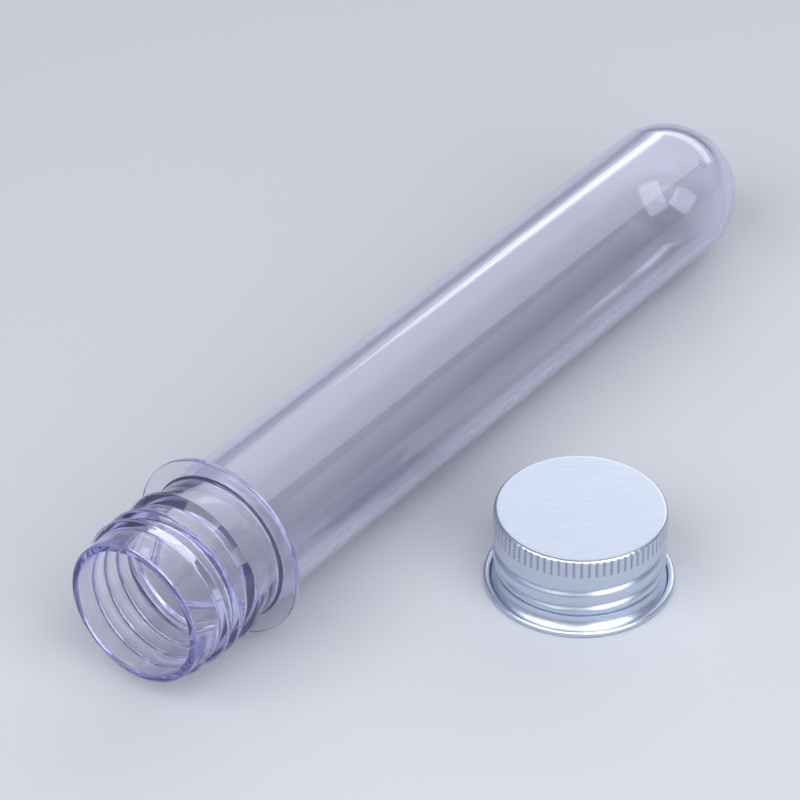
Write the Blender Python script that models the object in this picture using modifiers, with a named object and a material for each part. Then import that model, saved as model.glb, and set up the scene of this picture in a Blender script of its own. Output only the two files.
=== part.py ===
"""Clear screw-neck test tube lying on a bench beside its taken-off aluminium screw cap.

The tube is one injection moulded piece. The cap is a pressed shell with a foam liner in its top.
Lengths are in metres, +Z is up, and the origin is under the middle of the whole set.
"""
import math

import bmesh
import bpy
from mathutils import Matrix, Vector

COLLECTION_NAME = "plastic_test_tube"

# Tube body, measured from the open mouth
TUBE_LENGTH = 0.1708
BODY_RADIUS = 0.0132
BODY_WALL = 0.00145
GATE_MARK_RADIUS = 0.0010
GATE_MARK_HEIGHT = 0.0003

# Neck of the tube
NECK_WALL = 0.0014
LIP_ROUNDING = 0.0004
FLANGE_FROM_MOUTH = 0.0225
FLANGE_WIDTH = 0.0033
FLANGE_THICKNESS = 0.00105
FLANGE_FILLET = 0.00055
FLANGE_EDGE_ROUNDING = 0.00015

# Retaining bead between the thread and the flange
BEAD_HEIGHT = 0.0012
BEAD_BELOW_THREAD = 0.00073
BEAD_LEAD_IN = 0.0016
BEAD_CREST = 0.0007
BEAD_UNDERCUT = 0.0004

# Thread of the neck, whose pitch the cap shares
THREAD_PITCH = 0.0032
NECK_THREAD_HEIGHT = 0.00115
NECK_THREAD_WIDTH = 0.0024
NECK_THREAD_CREST = 0.0009
NECK_THREAD_FROM_MOUTH = 0.00435
NECK_THREAD_TURNS = 2.6
NECK_THREAD_ANGLE = math.radians(42.0)
NECK_THREAD_ROOT_DEPTH = 0.0004
NECK_THREAD_FLANK_SHARE = 0.7
THREAD_END_SHARE = 0.5
THREAD_FADE_TURNS = 0.14

# Pressed aluminium cap
CAP_CLEARANCE = 0.0003
CAP_HEIGHT = 0.01525
SHEET = 0.00025
CAP_CORNER = 0.0007
KNURL_COUNT = 72
KNURL_FROM_TOP = 0.00045
KNURL_LENGTH = 0.0032
KNURL_CUTTER_RADIUS = 0.0005
KNURL_SHARE_OF_SHEET = 0.5
CAP_THREAD_DEPTH = 0.0006
CAP_THREAD_WIDTH = 0.0026
CAP_THREAD_BOTTOM = 0.00426
CAP_THREAD_TURNS = 1.6
CAP_THREAD_ANGLE = math.radians(118.0)
SHOULDER_HEIGHT = 0.0043
WAIST_HEIGHT = 0.0030
WAIST_DEPTH = 0.0006

# Curled brim of the cap
BRIM_WIDTH = 0.00165
CURL_RADIUS = 0.00062
CURL_ENTRY = math.radians(-135.0)
CURL_END = math.radians(155.0)

# Foam liner seated in the top of the cap
LINER_THICKNESS = 0.0010
LINER_GAP = 0.0003
LINER_EDGE_ROUNDING = 0.0002

# Where the cap stands, from the mouth side of the tube's flange
CAP_ALONG_TUBE = 0.0461
CAP_BESIDE_TUBE = 0.0421

# Facets
TUBE_SEGMENTS = 40
CAP_SEGMENTS = 48
MERGE_DISTANCE = 0.00001

# Radii that follow from the sizes above
BORE_RADIUS = BODY_RADIUS - BODY_WALL
NECK_RADIUS = BORE_RADIUS + NECK_WALL
NECK_THREAD_RADIUS = NECK_RADIUS + NECK_THREAD_HEIGHT
FLANGE_RADIUS = BODY_RADIUS + FLANGE_WIDTH
CAP_INNER_RADIUS = NECK_THREAD_RADIUS + CAP_CLEARANCE
CAP_OUTER_RADIUS = CAP_INNER_RADIUS + SHEET
CURL_CENTRE = CAP_OUTER_RADIUS + BRIM_WIDTH - CURL_RADIUS

# Heights that follow, from the bottom of the round end
FLANGE_TOP = TUBE_LENGTH - FLANGE_FROM_MOUTH
FLANGE_BOTTOM = FLANGE_TOP - FLANGE_THICKNESS
NECK_THREAD_BOTTOM = TUBE_LENGTH - NECK_THREAD_FROM_MOUTH - NECK_THREAD_TURNS * THREAD_PITCH


def clear_scene():
    for old in list(bpy.data.objects):
        bpy.data.objects.remove(old, do_unlink=True)


def new_collection(name):
    collection = bpy.data.collections.new(name)
    bpy.context.scene.collection.children.link(collection)
    return collection


def add_object(name, mesh, collection):
    thing = bpy.data.objects.new(name, mesh)
    collection.objects.link(thing)
    return thing


def add_cutter(name, mesh, collection):
    cutter = add_object(name, mesh, collection)
    cutter.hide_render = True
    cutter.display_type = "WIRE"
    return cutter


def add_empty(name, collection, parent=None):
    empty = add_object(name, None, collection)
    empty.parent = parent
    return empty


def finish_mesh(bm, name):
    """Turn a bmesh into a mesh datablock with smooth faces."""
    mesh = bpy.data.meshes.new(name)
    bm.to_mesh(mesh)
    bm.free()
    mesh.shade_smooth()
    return mesh


def shade_round(thing):
    """Keep curved faces smooth, and let the large flat faces look flat."""
    normals = thing.modifiers.new("round shading", "WEIGHTED_NORMAL")
    normals.keep_sharp = True


def arc(centre_r, centre_z, radius, start, end, steps):
    """Points of an arc in the radius-height plane, both ends included."""
    points = []
    for step in range(steps + 1):
        angle = start + (end - start) * step / steps
        points.append((centre_r + radius * math.cos(angle), centre_z + radius * math.sin(angle)))
    return points


def outline_mesh(name, points):
    """An open outline in the XZ plane, as one chain of edges."""
    bm = bmesh.new()
    chain = [bm.verts.new((r, 0.0, z)) for r, z in points]
    for first, second in zip(chain, chain[1:]):
        bm.edges.new((first, second))
    return finish_mesh(bm, name)


def add_turning(thing, segments):
    """Turn the object's outline a full circle about its own Z axis."""
    screw = thing.modifiers.new("turning", "SCREW")
    screw.axis = "Z"
    screw.angle = math.tau
    screw.steps = segments
    screw.render_steps = segments
    screw.use_merge_vertices = True
    screw.merge_threshold = MERGE_DISTANCE
    screw.use_smooth_shade = True


def add_boolean(thing, operation, cutter):
    boolean = thing.modifiers.new(cutter.name, "BOOLEAN")
    boolean.operation = operation
    boolean.object = cutter
    boolean.solver = "EXACT"


def turn_on_helix(point, bottom, start_angle):
    """How many turns up the helix the nearest stretch of thread to a point lies."""
    part_turn = ((math.atan2(point.y, point.x) - start_angle) / math.tau) % 1.0
    whole_turns = round((point.z - bottom) / THREAD_PITCH - part_turn)
    return whole_turns + part_turn


def thread_fade(turn, turns):
    """0 off the ends of a thread, 1 along it, and a smooth run-out between."""
    share = min(turn, turns - turn) / THREAD_FADE_TURNS
    share = max(0.0, min(1.0, share))
    return share * share * (3.0 - 2.0 * share)


def material(name, colour, roughness, metallic=0.0, transmission=0.0, ior=1.5):
    finish = bpy.data.materials.new(name)
    finish.use_nodes = True
    shader = finish.node_tree.nodes["Principled BSDF"]
    shader.inputs["Base Color"].default_value = (*colour, 1.0)
    shader.inputs["Roughness"].default_value = roughness
    shader.inputs["Metallic"].default_value = metallic
    shader.inputs["Transmission Weight"].default_value = transmission
    shader.inputs["IOR"].default_value = ior
    finish.diffuse_color = (*colour, 1.0)
    return finish


def tube_outline():
    """Wall of the tube from the bore's end, up the bore, over the lip and down the outside."""
    mouth = TUBE_LENGTH
    centre = BODY_RADIUS
    bead_top = NECK_THREAD_BOTTOM - BEAD_BELOW_THREAD
    bead_crest = bead_top - BEAD_LEAD_IN
    bead_edge = bead_crest - BEAD_CREST
    edge = FLANGE_EDGE_ROUNDING
    rim = FLANGE_RADIUS - edge
    quarter = math.pi / 2

    points = arc(0.0, centre, BORE_RADIUS, -quarter, 0.0, 6)
    points += [(BORE_RADIUS, mouth)]
    points += arc(NECK_RADIUS - LIP_ROUNDING, mouth - LIP_ROUNDING, LIP_ROUNDING, quarter, 0.0, 2)
    points += [(NECK_RADIUS, bead_top)]
    points += [(NECK_RADIUS + BEAD_HEIGHT, bead_crest), (NECK_RADIUS + BEAD_HEIGHT, bead_edge)]
    points += [(NECK_RADIUS, bead_edge - BEAD_UNDERCUT)]
    fillet_r = NECK_RADIUS + FLANGE_FILLET
    fillet_z = FLANGE_TOP + FLANGE_FILLET
    points += arc(fillet_r, fillet_z, FLANGE_FILLET, math.pi, 3 * quarter, 2)
    points += arc(rim, FLANGE_TOP - edge, edge, quarter, 0.0, 1)
    points += arc(rim, FLANGE_BOTTOM + edge, edge, 0.0, -quarter, 1)
    points += arc(BODY_RADIUS + edge, FLANGE_BOTTOM - edge, edge, quarter, math.pi, 1)

    gate_mark_angle = -math.acos(GATE_MARK_RADIUS / BODY_RADIUS)
    points += arc(0.0, centre, BODY_RADIUS, 0.0, gate_mark_angle, 7)
    points += [(GATE_MARK_RADIUS, -GATE_MARK_HEIGHT), (0.0, -GATE_MARK_HEIGHT)]
    return points


def neck_thread_mesh():
    """One rounded ridge that climbs the neck and runs out at both ends."""
    base = NECK_RADIUS - NECK_THREAD_ROOT_DEPTH
    half_root = NECK_THREAD_WIDTH / 2
    half_crest = NECK_THREAD_CREST / 2
    half_flank = (half_root + half_crest) / 2
    flank_radius = NECK_RADIUS + NECK_THREAD_FLANK_SHARE * NECK_THREAD_HEIGHT
    side = [(base, half_root), (NECK_RADIUS, half_root), (flank_radius, half_flank)]
    side += [(NECK_THREAD_RADIUS, half_crest)]
    section = side + [(r, -z) for r, z in reversed(side)]

    bm = bmesh.new()
    start = Vector((math.cos(NECK_THREAD_ANGLE), math.sin(NECK_THREAD_ANGLE), 0.0))
    rise = Vector((0.0, 0.0, 1.0))
    corners = [bm.verts.new(start * r + rise * (NECK_THREAD_BOTTOM + z)) for r, z in section]
    face = bm.faces.new(corners)
    steps = round(NECK_THREAD_TURNS * TUBE_SEGMENTS)
    bmesh.ops.spin(
        bm,
        geom=[face, *face.edges, *face.verts],
        cent=(0.0, 0.0, 0.0),
        axis=(0.0, 0.0, 1.0),
        dvec=(0.0, 0.0, NECK_THREAD_TURNS * THREAD_PITCH / steps),
        angle=NECK_THREAD_TURNS * math.tau,
        steps=steps,
        use_merge=False,
    )
    end_height = THREAD_END_SHARE * NECK_THREAD_ROOT_DEPTH / (NECK_THREAD_RADIUS - base)
    for vert in bm.verts:
        turn = turn_on_helix(vert.co, NECK_THREAD_BOTTOM, NECK_THREAD_ANGLE)
        height = end_height + (1.0 - end_height) * thread_fade(turn, NECK_THREAD_TURNS)
        radius = math.hypot(vert.co.x, vert.co.y)
        factor = (base + (radius - base) * height) / radius
        vert.co.x *= factor
        vert.co.y *= factor
    bmesh.ops.recalc_face_normals(bm, faces=bm.faces)
    return finish_mesh(bm, "neck_thread")


def build_tube(collection, cutters, place):
    """Moulded tube: turned wall, with the thread joined to its neck."""
    tube = add_object("test_tube", outline_mesh("test_tube", tube_outline()), collection)
    add_turning(tube, TUBE_SEGMENTS)
    ridge = add_cutter("neck_thread", neck_thread_mesh(), cutters)
    add_boolean(tube, "UNION", ridge)
    shade_round(tube)
    clear_plastic = material("clear_plastic", (0.90, 0.91, 0.97), 0.04, transmission=1.0, ior=1.57)
    tube.data.materials.append(clear_plastic)
    tube.parent = place
    ridge.parent = place
    return tube


def cap_outline():
    """Inside face of the cap's sheet, from the middle of the top down to the end of the curl."""
    quarter = math.pi / 2
    ceiling = CAP_HEIGHT - SHEET
    corner = CAP_CORNER - SHEET
    points = [(0.0, ceiling)]
    points += arc(CAP_INNER_RADIUS - corner, ceiling - corner, corner, quarter, 0.0, 2)

    thread_top = CAP_THREAD_BOTTOM + CAP_THREAD_TURNS * THREAD_PITCH + CAP_THREAD_WIDTH / 2
    thread_rows = 11
    for row in range(thread_rows + 1):
        height = thread_top + (SHOULDER_HEIGHT - thread_top) * row / thread_rows
        points.append((CAP_INNER_RADIUS, height))

    waist_radius = CAP_INNER_RADIUS - WAIST_DEPTH
    waist_rows = 3
    for row in range(1, waist_rows + 1):
        share = row / waist_rows
        depth = WAIST_DEPTH * (1.0 - math.cos(math.pi * share)) / 2
        height = SHOULDER_HEIGHT + (WAIST_HEIGHT - SHOULDER_HEIGHT) * share
        points.append((CAP_INNER_RADIUS - depth, height))

    curl = arc(CURL_CENTRE, CURL_RADIUS, CURL_RADIUS, CURL_ENTRY, -quarter, 1)
    curl += arc(CURL_CENTRE, CURL_RADIUS, CURL_RADIUS, -quarter, CURL_END, 6)[1:]
    entry_r, entry_z = curl[0]
    slope = -1.0 / math.tan(CURL_ENTRY)
    bend_z = entry_z + slope * (waist_radius - entry_r)
    flare_rows = 4
    for row in range(1, flare_rows):
        share = row / flare_rows
        start, middle, end = (1 - share) ** 2, 2 * share * (1 - share), share ** 2
        flare_r = start * waist_radius + middle * waist_radius + end * entry_r
        flare_z = start * WAIST_HEIGHT + middle * bend_z + end * entry_z
        points.append((flare_r, flare_z))
    return points + curl


def cap_mesh():
    """Inside face of the cap turned to a surface, with the thread rolled into its skirt."""
    bm = bmesh.new()
    chain = [bm.verts.new((r, 0.0, z)) for r, z in cap_outline()]
    edges = [bm.edges.new(pair) for pair in zip(chain, chain[1:])]
    bmesh.ops.spin(
        bm,
        geom=[*chain, *edges],
        cent=(0.0, 0.0, 0.0),
        axis=(0.0, 0.0, 1.0),
        angle=math.tau,
        steps=CAP_SEGMENTS,
        use_merge=True,
    )
    bmesh.ops.remove_doubles(bm, verts=bm.verts, dist=MERGE_DISTANCE)
    bmesh.ops.recalc_face_normals(bm, faces=bm.faces)
    top_face = max(bm.faces, key=lambda face: face.calc_center_median().z)
    if top_face.normal.z < 0.0:
        bmesh.ops.reverse_faces(bm, faces=bm.faces)
    roll_thread(bm)
    return finish_mesh(bm, "cap_shell")


def roll_thread(bm):
    """Press the helical groove of the cap's thread inwards."""
    for vert in bm.verts:
        radius = math.hypot(vert.co.x, vert.co.y)
        if radius < MERGE_DISTANCE:
            continue
        turn = turn_on_helix(vert.co, CAP_THREAD_BOTTOM, CAP_THREAD_ANGLE)
        off_centre = vert.co.z - (CAP_THREAD_BOTTOM + turn * THREAD_PITCH)
        if abs(off_centre) > CAP_THREAD_WIDTH / 2:
            continue
        groove = (1.0 + math.cos(math.tau * off_centre / CAP_THREAD_WIDTH)) / 2
        depth = CAP_THREAD_DEPTH * groove * thread_fade(turn, CAP_THREAD_TURNS)
        depth = min(depth, max(0.0, radius - (CAP_INNER_RADIUS - CAP_THREAD_DEPTH)))
        factor = (radius - depth) / radius
        vert.co.x *= factor
        vert.co.y *= factor


def knurl_mesh():
    """A ring of upright round-ended cutters that bite part way into the cap's sheet."""
    ball_rows = 3
    widest = KNURL_CUTTER_RADIUS * math.sin(math.pi / ball_rows)
    bite = SHEET * KNURL_SHARE_OF_SHEET
    middle_height = CAP_HEIGHT - KNURL_FROM_TOP - KNURL_LENGTH / 2
    middle = Vector((CAP_OUTER_RADIUS - bite + widest, 0.0, middle_height))
    half_straight = KNURL_LENGTH / 2 - KNURL_CUTTER_RADIUS

    bm = bmesh.new()
    for index in range(KNURL_COUNT):
        ball = bmesh.ops.create_uvsphere(
            bm, u_segments=2 * ball_rows, v_segments=ball_rows, radius=KNURL_CUTTER_RADIUS
        )
        for vert in ball["verts"]:
            vert.co.z += math.copysign(half_straight, vert.co.z)
        bmesh.ops.translate(bm, verts=ball["verts"], vec=middle)
        turn = Matrix.Rotation(math.tau * index / KNURL_COUNT, 3, "Z")
        bmesh.ops.rotate(bm, verts=ball["verts"], cent=(0.0, 0.0, 0.0), matrix=turn)
    return finish_mesh(bm, "cap_knurl")


def build_cap(collection, cutters, place):
    """Pressed cap: a thin shell with a rolled thread, a curled brim and a knurled grip."""
    cap = add_object("cap_shell", cap_mesh(), collection)
    wall = cap.modifiers.new("sheet", "SOLIDIFY")
    wall.thickness = SHEET
    wall.offset = 1.0
    wall.use_even_offset = True
    knurl = add_cutter("cap_knurl", knurl_mesh(), cutters)
    add_boolean(cap, "DIFFERENCE", knurl)
    shade_round(cap)
    cap.data.materials.append(material("aluminium", (0.74, 0.76, 0.80), 0.35, metallic=1.0))
    cap.parent = place
    knurl.parent = place
    return cap


def build_liner(collection, place):
    """Foam disc in the top of the cap, which seals on the tube's lip."""
    top = CAP_HEIGHT - SHEET - LINER_GAP
    bottom = top - LINER_THICKNESS
    edge = LINER_EDGE_ROUNDING
    rim = CAP_INNER_RADIUS - LINER_GAP - edge
    quarter = math.pi / 2
    points = [(0.0, top)]
    points += arc(rim, top - edge, edge, quarter, 0.0, 1)
    points += arc(rim, bottom + edge, edge, 0.0, -quarter, 1)
    points += [(0.0, bottom)]
    liner = add_object("cap_liner", outline_mesh("cap_liner", points), collection)
    add_turning(liner, CAP_SEGMENTS)
    shade_round(liner)
    liner.data.materials.append(material("white_foam", (0.86, 0.86, 0.84), 0.6))
    liner.parent = place
    return liner


def lay_tube(place):
    """Lay the tube along X, mouth at -X, so that its flange and its round end touch the bench."""
    reach = FLANGE_BOTTOM + FLANGE_EDGE_ROUNDING - BODY_RADIUS
    slant = math.hypot(reach, FLANGE_RADIUS)
    tilt = math.atan2(FLANGE_RADIUS, reach) - math.asin(BODY_RADIUS / slant)
    place.rotation_euler = (0.0, tilt - math.pi / 2, 0.0)
    place.location = (0.0, 0.0, BODY_RADIUS * (1.0 - math.sin(tilt)))
    return tilt


def stand_cap(place, tilt):
    """Stand the cap on its brim beside the tube's neck."""
    flange_face = -FLANGE_TOP * math.cos(tilt)
    place.location = (flange_face + CAP_ALONG_TUBE, -CAP_BESIDE_TUBE, 0.0)


def centre_on_origin(centre, pieces):
    """Move the set sideways until the middle of its bounding box is over the origin."""
    bpy.context.view_layer.update()
    graph = bpy.context.evaluated_depsgraph_get()
    points = []
    for piece in pieces:
        shown = piece.evaluated_get(graph)
        points += [shown.matrix_world @ vert.co for vert in shown.to_mesh().vertices]
        shown.to_mesh_clear()
    for axis in (0, 1):
        along = [point[axis] for point in points]
        centre.location[axis] = -(min(along) + max(along)) / 2


clear_scene()
parts = new_collection(COLLECTION_NAME)
tools = new_collection("cutters")

set_centre = add_empty("set_centre", parts)
tube_place = add_empty("tube_place", parts, set_centre)
cap_place = add_empty("cap_place", parts, set_centre)

tube_tilt = lay_tube(tube_place)
stand_cap(cap_place, tube_tilt)

solids = [
    build_tube(parts, tools, tube_place),
    build_cap(parts, tools, cap_place),
    build_liner(parts, cap_place),
]
centre_on_origin(set_centre, solids)
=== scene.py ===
import math

import bmesh
import bpy
from mathutils import Matrix, Vector


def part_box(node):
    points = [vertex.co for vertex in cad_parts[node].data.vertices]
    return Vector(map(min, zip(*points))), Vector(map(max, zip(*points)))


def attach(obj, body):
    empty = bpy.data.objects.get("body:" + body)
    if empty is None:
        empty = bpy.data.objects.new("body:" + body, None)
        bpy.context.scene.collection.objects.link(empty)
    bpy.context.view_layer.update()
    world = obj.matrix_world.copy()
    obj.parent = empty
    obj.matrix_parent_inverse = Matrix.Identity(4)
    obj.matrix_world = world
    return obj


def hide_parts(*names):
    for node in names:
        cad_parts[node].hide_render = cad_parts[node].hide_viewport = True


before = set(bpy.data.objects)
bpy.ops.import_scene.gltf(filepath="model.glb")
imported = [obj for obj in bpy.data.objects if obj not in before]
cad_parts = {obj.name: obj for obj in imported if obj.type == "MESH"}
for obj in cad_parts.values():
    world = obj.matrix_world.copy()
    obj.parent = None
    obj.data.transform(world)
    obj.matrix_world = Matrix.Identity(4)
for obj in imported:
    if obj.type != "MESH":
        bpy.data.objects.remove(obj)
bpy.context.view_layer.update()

# The tube is one injection moulding in clear plastic with a faint blue-violet tint. Its wall is a
# turned shape with a hemispherical end, a support flange and a retaining bead, and its right-hand
# thread stands out of the neck. It lies on the edge of its flange and on its round end.
MILLIMETRE = 0.001
tube_length = 170.8
body_radius = 13.2
bore_radius = 11.75
round_end_steps = 28
neck_radius = 13.15
flange_radius = 16.5
flange_from_mouth = 22.5
flange_thickness = 1.05
flange_edge = 0.16
thread_pitch = 3.2
thread_height = 1.15
thread_root = 2.4
thread_crest = 0.9
thread_from_mouth = 4.35
thread_turns = 2.6
thread_angle = math.radians(42.0)
thread_fade = 0.14
thread_sunk = 0.2
thread_end = 0.05
thread_fillet_spread = 0.7
thread_fillet_height = 0.12
thread_fillet_inset = 0.08
bead_below_thread = 0.73
bead_height = 1.2
bead_lead_in = 1.6
bead_crest = 0.7
bead_undercut = 0.4
gate_radius = 1.0
gate_height = 0.3
tube_segments = 256


def arc(centre_r, centre_z, radius, start, end, steps):
    """(radius, height) points along an arc, in degrees, both ends included."""
    angles = [math.radians(start + (end - start) * step / steps) for step in range(steps + 1)]
    return [(centre_r + radius * math.cos(a), centre_z + radius * math.sin(a)) for a in angles]


def rounded(corners, steps=6):
    """(radius, height) points along straight runs. A corner's third number is its rounding."""
    points = [corners[0][:2]]
    for before, here, after in zip(corners, corners[1:], corners[2:]):
        corner = Vector(here[:2])
        back = (Vector(before[:2]) - corner).normalized()
        ahead = (Vector(after[:2]) - corner).normalized()
        half = back.angle(ahead) / 2
        centre = corner + (back + ahead).normalized() * here[2] / math.sin(half)
        start = corner + back * here[2] / math.tan(half) - centre
        end = corner + ahead * here[2] / math.tan(half) - centre
        points += [tuple(centre + start.slerp(end, step / steps) * here[2]) for step in range(steps + 1)]
    return points + [corners[-1][:2]]


def turned(outline, segments):
    """A bmesh of the outline turned a full circle about Z, with its faces pointing outwards."""
    bm = bmesh.new()
    chain = [bm.verts.new((r, 0.0, z)) for r, z in outline]
    edges = [bm.edges.new(pair) for pair in zip(chain, chain[1:])]
    bmesh.ops.spin(
        bm, geom=[*chain, *edges], cent=(0, 0, 0), axis=(0, 0, 1), angle=math.tau,
        steps=segments, use_merge=True,
    )
    bmesh.ops.remove_doubles(bm, verts=bm.verts, dist=0.0005)
    bmesh.ops.recalc_face_normals(bm, faces=bm.faces)
    return bm


def on_helix(point, bottom, start_angle, turns, fade):
    """Height of a point above the nearest stretch of a thread, and 0 to 1 for how full it is there."""
    part = ((math.atan2(point.y, point.x) - start_angle) / math.tau) % 1.0
    turn = part + round((point.z - bottom) / thread_pitch - part)
    share = max(0.0, min(1.0, min(turn, turns - turn) / fade))
    return point.z - bottom - turn * thread_pitch, share * share * (3 - 2 * share)


def set_radius(vert, radius):
    """Move a point straight in or out, to a radius from the axis."""
    factor = radius / math.hypot(vert.co.x, vert.co.y)
    vert.co.x *= factor
    vert.co.y *= factor


def joined(bm, other):
    """The union of two closed meshes, as one bmesh."""
    pieces = []
    for part in (bm, other):
        mesh = bpy.data.meshes.new("part")
        part.to_mesh(mesh)
        part.free()
        pieces.append(bpy.data.objects.new("part", mesh))
        bpy.context.scene.collection.objects.link(pieces[-1])
    union = pieces[0].modifiers.new("union", "BOOLEAN")
    union.operation = "UNION"
    union.solver = "EXACT"
    union.object = pieces[1]
    whole = bmesh.new()
    whole.from_object(pieces[0], bpy.context.evaluated_depsgraph_get())
    for piece in pieces:
        bpy.data.objects.remove(piece, do_unlink=True)
    return whole


def smooth_piece(name, bm, sharp_degrees):
    """An object of the bmesh, smooth but for the edges sharper than an angle."""
    mesh = bpy.data.meshes.new(name)
    bm.to_mesh(mesh)
    bm.free()
    mesh.shade_smooth()
    mesh.set_sharp_from_angle(angle=math.radians(sharp_degrees))
    piece = bpy.data.objects.new(name, mesh)
    bpy.context.scene.collection.objects.link(piece)
    return piece


def seat(bm, node):
    """Bring a mesh from millimetres to metres, and slide it to where its node stands."""
    bmesh.ops.scale(bm, verts=bm.verts, vec=(MILLIMETRE, MILLIMETRE, MILLIMETRE))
    low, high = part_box(node)
    shift = Vector((0, 0, 0))
    for axis in range(3):
        places = [vert.co[axis] for vert in bm.verts]
        if axis == 2:
            shift[axis] = low[axis] - min(places)
        else:
            shift[axis] = (low[axis] + high[axis] - min(places) - max(places)) / 2
    bmesh.ops.translate(bm, verts=bm.verts, vec=shift)


flange_top = tube_length - flange_from_mouth
flange_bottom = flange_top - flange_thickness
thread_bottom = tube_length - thread_from_mouth - thread_turns * thread_pitch
bead_top = thread_bottom - bead_below_thread
crest_top = bead_top - bead_lead_in
crest_bottom = crest_top - bead_crest
outline = arc(0, body_radius, bore_radius, -90, 0, round_end_steps)
outline += rounded([
    (bore_radius, body_radius),
    (bore_radius, tube_length, 0.15),
    (neck_radius, tube_length, 0.4),
    (neck_radius, bead_top, 0.3),
    (neck_radius + bead_height, crest_top, 0.25),
    (neck_radius + bead_height, crest_bottom, 0.15),
    (neck_radius, crest_bottom - bead_undercut, 0.12),
    (neck_radius, flange_top, 0.55),
    (flange_radius, flange_top, flange_edge),
    (flange_radius, flange_bottom, flange_edge),
    (body_radius, flange_bottom, 0.2),
    (body_radius, body_radius),
])
gate_angle = -math.degrees(math.acos(gate_radius / body_radius))
outline += arc(0, body_radius, body_radius, 0, gate_angle, round_end_steps)
outline += rounded([
    (gate_radius, 0.1),
    (gate_radius, -gate_height, 0.12),
    (gate_radius / 2, -gate_height, 0.1),
    (0.0, -gate_height / 2),
])
wall = turned(outline, tube_segments)

foot = neck_radius - thread_sunk
crest = neck_radius + thread_height
side = [
    (foot, thread_root / 2 + thread_fillet_spread),
    (neck_radius + thread_fillet_height, thread_root / 2 - thread_fillet_inset, 0.45),
    (crest, thread_crest / 2, 0.5),
]
section = rounded([*side, *((r, -z, *rounding) for r, z, *rounding in reversed(side))])
ridge = bmesh.new()
outwards = Vector((math.cos(thread_angle), math.sin(thread_angle), 0))
corners = [ridge.verts.new(outwards * r + Vector((0, 0, thread_bottom + z))) for r, z in section]
first = ridge.faces.new(corners)
steps = round(thread_turns * tube_segments)
bmesh.ops.spin(
    ridge, geom=[first, *first.edges, *first.verts], cent=(0, 0, 0), axis=(0, 0, 1),
    angle=thread_turns * math.tau, dvec=(0, 0, thread_turns * thread_pitch / steps),
    steps=steps, use_merge=False,
)
buried = foot - 0.1
for vert in ridge.verts:
    fullness = on_helix(vert.co, thread_bottom, thread_angle, thread_turns, thread_fade)[1]
    radius = math.hypot(vert.co.x, vert.co.y)
    set_radius(vert, buried + (radius - buried) * (thread_end + (1 - thread_end) * fullness))
bmesh.ops.recalc_face_normals(ridge, faces=ridge.faces)
moulding = joined(wall, ridge)

reach = flange_bottom + flange_edge - body_radius
tube_tilt = math.atan2(flange_radius, reach) - math.asin(body_radius / math.hypot(reach, flange_radius))
lying = Matrix.Rotation(tube_tilt - math.pi / 2, 3, "Y")
bmesh.ops.rotate(moulding, verts=moulding.verts, cent=(0, 0, 0), matrix=lying)
seat(moulding, "test_tube")
tube = smooth_piece("clear_tube", moulding, 20)


class Value:
    """A socket of a finish. Python's operators on it add Math nodes."""

    def __init__(self, finish, socket):
        self.finish = finish
        self.socket = socket

    def math(self, operation, *others):
        inputs = dict(enumerate((self, *others)))
        return self.finish.node("ShaderNodeMath", {"operation": operation}, inputs)

    def __add__(self, other):
        return self.math("ADD", other)

    def __mul__(self, other):
        return self.math("MULTIPLY", other)

    def __sub__(self, other):
        return self.math("SUBTRACT", other)

    def __rsub__(self, other):
        return self * -1 + other

    __radd__ = __add__
    __rmul__ = __mul__


class Finish:
    """A material, or the world, whose nodes are added one by one."""

    def __init__(self, owner, output="ShaderNodeOutputMaterial"):
        owner.use_nodes = True
        self.owner = owner
        self.tree = owner.node_tree
        self.tree.nodes.clear()
        self.result = self.tree.nodes.new(output)

    def node(self, kind, settings, inputs, output=0):
        """Add a node, with its settings first and then its sockets' values or links."""
        made = self.tree.nodes.new(kind)
        for name, setting in settings.items():
            setattr(made, name, setting)
        for name, given in inputs.items():
            if isinstance(given, Value):
                self.tree.links.new(given.socket, made.inputs[name])
            else:
                made.inputs[name].default_value = given
        return Value(self, made.outputs[output])

    def show(self, shader, volume=None):
        """Link the finished shader to the output."""
        self.tree.links.new(shader.socket, self.result.inputs["Surface"])
        if volume:
            self.tree.links.new(volume.socket, self.result.inputs["Volume"])

    def noise(self, size, detail=2.0, stretch=(1, 1, 1), turn=(0, 0, 0)):
        """Noise on the piece's own coordinates, with its cells about a size in millimetres."""
        place = self.node("ShaderNodeTexCoord", {}, {}, "Object")
        place = self.node("ShaderNodeMapping", {"vector_type": "TEXTURE"}, {
            "Vector": place, "Rotation": turn, "Scale": stretch,
        })
        scale = 1 / (size * MILLIMETRE)
        return self.node("ShaderNodeTexNoise", {}, {"Vector": place, "Scale": scale, "Detail": detail})


clear = Finish(bpy.data.materials.new("clear plastic"))
haze = clear.noise(9.0, 3.0)
draw_lines = clear.noise(0.9, 2.0, stretch=(50, 1, 1), turn=(0, tube_tilt, 0))
ripple = clear.noise(14.0, 1.0)
surface = clear.node("ShaderNodeBump", {}, {
    "Strength": 0.25, "Distance": 0.00003, "Height": draw_lines * 0.35 + ripple,
})
shader = clear.node("ShaderNodeBsdfPrincipled", {}, {
    "Base Color": (1.0, 1.0, 1.0, 1.0),
    "Roughness": haze * 0.03,
    "IOR": 1.57,
    "Transmission Weight": 0.97,
    "Normal": surface,
})
tint = clear.node("ShaderNodeVolumeAbsorption", {}, {
    "Color": (0.50, 0.48, 0.95, 1.0), "Density": 110.0,
})
clear.show(shader, tint)
tube.data.materials.append(clear.owner)
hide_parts("test_tube")
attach(tube, "root")

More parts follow.
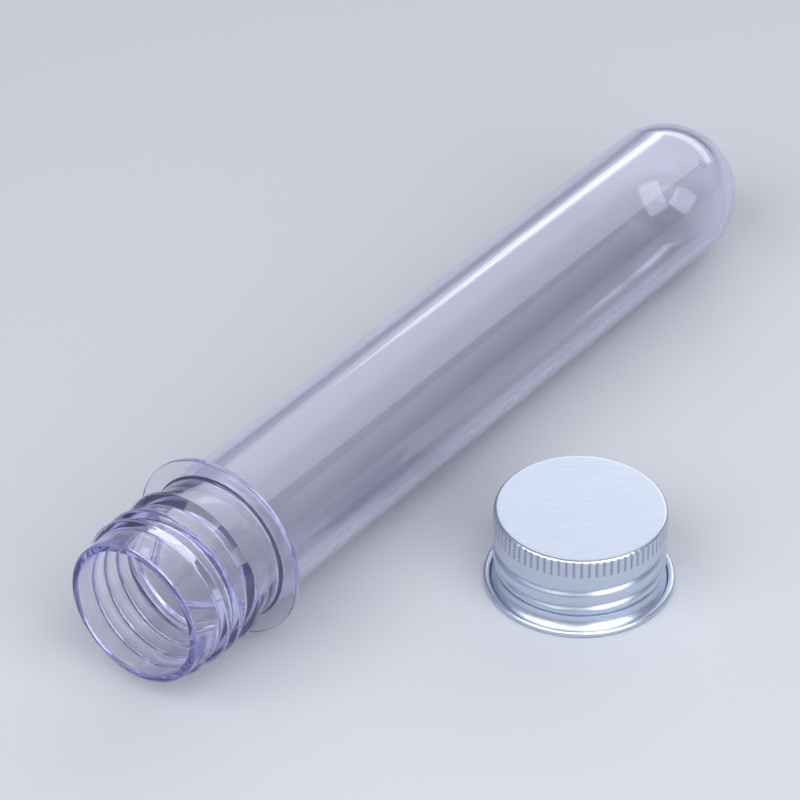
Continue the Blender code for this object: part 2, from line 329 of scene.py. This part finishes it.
# The cap is one pressing in thin aluminium sheet, satin all over. Its grip is knurled, its thread is
# rolled into the skirt from outside, and its brim is flared and curled outwards. It stands on the
# curl, with its open side down.
cap_height = 15.25
sheet = 0.25
cap_clearance = 0.3
cap_inner = neck_radius + thread_height + cap_clearance
ceiling = cap_height - sheet
corner = 0.45
rim_ring = 0.9
knurls = 72
knurl_top = 14.88
knurl_length = 3.2
knurl_end = 0.5
knurl_depth = 0.2
knurl_bottom = knurl_top - knurl_length
groove_depth = 0.6
groove_above = 0.55
groove_below = 1.55
groove_shift = 0.45
groove_bottom = 4.26
groove_turns = 1.6
groove_angle = math.radians(118.0)
shoulder = 4.3
waist_height = 3.0
waist_depth = 0.6
brim_width = 1.65
curl_radius = 0.62
curl_centre = cap_inner + sheet + brim_width - curl_radius
curl_entry = -135
curl_end = 155
waist_steps = 6
flare_steps = 8
knurl_rows = 0.09
thread_rows = 0.13
cap_segments = 432
rolling_direction = math.radians(-53.7)


def rows(radius, top, bottom, spacing):
    """Points down a straight wall, close enough together to carry a thread."""
    count = math.ceil((top - bottom) / spacing)
    return [(radius, top + (bottom - top) * row / count) for row in range(count + 1)]


# The outline is the sheet's inner side. Its rows lie close together at the ends of the knurl and
# along the rolled thread, and far apart between them.
outline = [(0.0, ceiling)]
outline += rounded([
    (cap_inner - rim_ring, ceiling),
    (cap_inner, ceiling, corner),
    (cap_inner, ceiling - corner - 0.02),
])
outline += rows(cap_inner, ceiling - corner - 0.08, knurl_top - 2 * knurl_end, knurl_rows)
outline += rows(cap_inner, knurl_bottom + 1.2 * knurl_end, knurl_bottom - 0.05, knurl_rows)
outline += rows(cap_inner, knurl_bottom - 0.3, shoulder, thread_rows)
for step in range(1, waist_steps + 1):
    share = step / waist_steps
    outline.append((
        cap_inner - waist_depth * (1 - math.cos(math.pi * share)) / 2,
        shoulder + (waist_height - shoulder) * share,
    ))
waist_radius = cap_inner - waist_depth
entry = arc(curl_centre, curl_radius, curl_radius, curl_entry, curl_entry, 1)[0]
bend = (waist_radius, entry[1] + entry[0] - waist_radius)
for step in range(1, flare_steps):
    share = step / flare_steps
    outline.append(tuple(
        (1 - share) ** 2 * a + 2 * share * (1 - share) * b + share ** 2 * c
        for a, b, c in zip((waist_radius, waist_height), bend, entry)
    ))
outline += arc(curl_centre, curl_radius, curl_radius, curl_entry, curl_end, 16)
skirt = turned(outline, cap_segments)
pressed = skirt.verts.layers.float.new("knurl")
if max(skirt.faces, key=lambda face: face.calc_center_median().z).normal.z < 0:
    bmesh.ops.reverse_faces(skirt, faces=skirt.faces)
# Each point of the straight wall is pressed in by the thread's groove and by the knurl's flutes.
for vert in skirt.verts:
    radius = math.hypot(vert.co.x, vert.co.y)
    if radius < waist_radius - 0.01 or vert.co.z < waist_height - 1:
        continue
    off_centre, fullness = on_helix(vert.co, groove_bottom, groove_angle, groove_turns, thread_fade)
    off_deepest = off_centre - groove_shift
    share = off_deepest / (groove_above if off_deepest > 0 else groove_below)
    groove = (1 + math.cos(math.pi * max(-1.0, min(1.0, share)))) / 2
    deepest = max(0.0, radius - (cap_inner - groove_depth))
    into_end = max(0.0, min(knurl_end, knurl_top - vert.co.z, vert.co.z - knurl_bottom)) / knurl_end
    across = max(0.0, math.cos(knurls * math.atan2(vert.co.y, vert.co.x)))
    press = across * math.sqrt(1 - (1 - into_end) ** 2)
    # How far the knurl presses in is kept on each point, to paint shade into the flutes.
    vert[pressed] = press
    set_radius(vert, radius - min(groove_depth * groove * fullness, deepest) - knurl_depth * press)
seat(skirt, "cap_shell")
cap = smooth_piece("aluminium_cap", skirt, 60)
wall = cap.modifiers.new("sheet", "SOLIDIFY")
wall.thickness = sheet * MILLIMETRE
wall.offset = 1.0
wall.use_even_offset = True

satin = Finish(bpy.data.materials.new("satin aluminium"))
grain = satin.noise(0.35, 3.0, stretch=(14, 1, 1), turn=(0, 0, rolling_direction))
blotch = satin.noise(6.0, 3.0)
surface = satin.node("ShaderNodeBump", {}, {"Strength": 0.35, "Distance": 0.00002, "Height": grain})
brushed = satin.node("ShaderNodeMix", {"data_type": "RGBA"}, {
    0: (grain - 0.5) * 1.6 + 0.5, 6: (0.56, 0.62, 0.74, 1.0), 7: (0.65, 0.71, 0.82, 1.0),
}, 2)
# The knurl's flutes are painted dark: painted shade in the recesses, mixed in by how far each point is
# pressed in.
painted_flute_shade = satin.node("ShaderNodeAttribute", {"attribute_name": "knurl"}, {}, "Fac")
colour_with_painted_shade = satin.node("ShaderNodeMix", {"data_type": "RGBA"}, {
    0: painted_flute_shade, 6: brushed, 7: (0.24, 0.27, 0.34, 1.0),
}, 2)
shader = satin.node("ShaderNodeBsdfPrincipled", {}, {
    "Base Color": colour_with_painted_shade,
    "Metallic": 1.0,
    "Roughness": 0.24 + grain * 0.10 + blotch * 0.04,
    "Normal": surface,
})
satin.show(shader)
cap.data.materials.append(satin.owner)
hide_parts("cap_shell")
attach(cap, "root")

# The liner is a die-cut disc of white foamed plastic that is pressed into the top of the cap and
# seals on the tube's lip. It shows only when the cap is turned over.
foam = Finish(bpy.data.materials.new("white foam"))
cells = foam.noise(0.35, 4.0)
surface = foam.node("ShaderNodeBump", {}, {"Strength": 0.4, "Distance": 0.00005, "Height": cells})
shader = foam.node("ShaderNodeBsdfPrincipled", {}, {
    "Base Color": (0.86, 0.86, 0.84, 1.0), "Roughness": 0.55 + cells * 0.15, "Normal": surface,
})
foam.show(shader)
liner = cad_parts["cap_liner"]
liner.data.materials.clear()
liner.data.materials.append(foam.owner)

# The camera looks down on the tube's mouth, along the tube and over the cap. A plain pale floor
# lies under them. A wide softbox and a thin strip light stand behind them, two windows of light
# stand to the left and right of the camera, and a weak fill stands behind it.
aim = Vector((0.0056, 0.0335, 0.0))


def seen_from(azimuth, elevation, distance):
    """A place at a distance from the aim. Azimuth 0 is on the -Y side and 90 on the +X side."""
    turn = math.radians(azimuth)
    rise = math.radians(elevation)
    out = Vector((math.sin(turn) * math.cos(rise), -math.cos(turn) * math.cos(rise), math.sin(rise)))
    return aim + out * distance


def facing(place):
    """The turn that points a camera or lamp at the aim."""
    return (aim - place).to_track_quat("-Z", "Y").to_euler()


camera = bpy.data.objects.new("camera", bpy.data.cameras.new("camera"))
camera.location = seen_from(306.29, 37.17, 0.8254)
camera.rotation_euler = facing(camera.location)
camera.data.sensor_width = 36.0
camera.data.lens = 205.75
bpy.context.scene.collection.objects.link(camera)
bpy.context.scene.camera = camera

for name, azimuth, elevation, distance, width, height, power in (
    ("back softbox", 102.5, 38.5, 0.75, 0.96, 0.65, 1.65),
    ("back strip", 98.0, 25.0, 0.75, 0.86, 0.10, 0.6),
    ("right window", 344.0, 42.0, 0.80, 0.62, 0.90, 5.5),
    ("left window", 259.5, 44.0, 0.80, 0.66, 0.60, 3.9),
    ("front fill", 301.0, 40.0, 1.00, 0.62, 0.60, 1.4),
):
    softbox = bpy.data.lights.new(name, "AREA")
    softbox.shape = "RECTANGLE"
    softbox.size = width
    softbox.size_y = height
    softbox.energy = power
    stand = bpy.data.objects.new(name, softbox)
    stand.location = seen_from(azimuth, elevation, distance)
    stand.rotation_euler = facing(stand.location)
    bpy.context.scene.collection.objects.link(stand)

studio = Finish(bpy.data.worlds.new("studio"), "ShaderNodeOutputWorld")
shader = studio.node("ShaderNodeBackground", {}, {
    "Color": (0.74, 0.78, 0.92, 1.0), "Strength": 0.33,
})
studio.show(shader)
bpy.context.scene.world = studio.owner

ground = bmesh.new()
bmesh.ops.create_grid(ground, x_segments=1, y_segments=1, size=1.2)
floor = smooth_piece("floor", ground, 30)
paper = Finish(bpy.data.materials.new("pale paper"))
shader = paper.node("ShaderNodeBsdfPrincipled", {}, {
    "Base Color": (0.49, 0.51, 0.55, 1.0), "Roughness": 0.7, "Specular IOR Level": 0.2,
})
paper.show(shader)
floor.data.materials.append(paper.owner)

bpy.context.scene.view_settings.view_transform = "Standard"
bpy.context.scene.cycles.max_bounces = 28
bpy.context.scene.cycles.glossy_bounces = 20
bpy.context.scene.cycles.transmission_bounces = 24
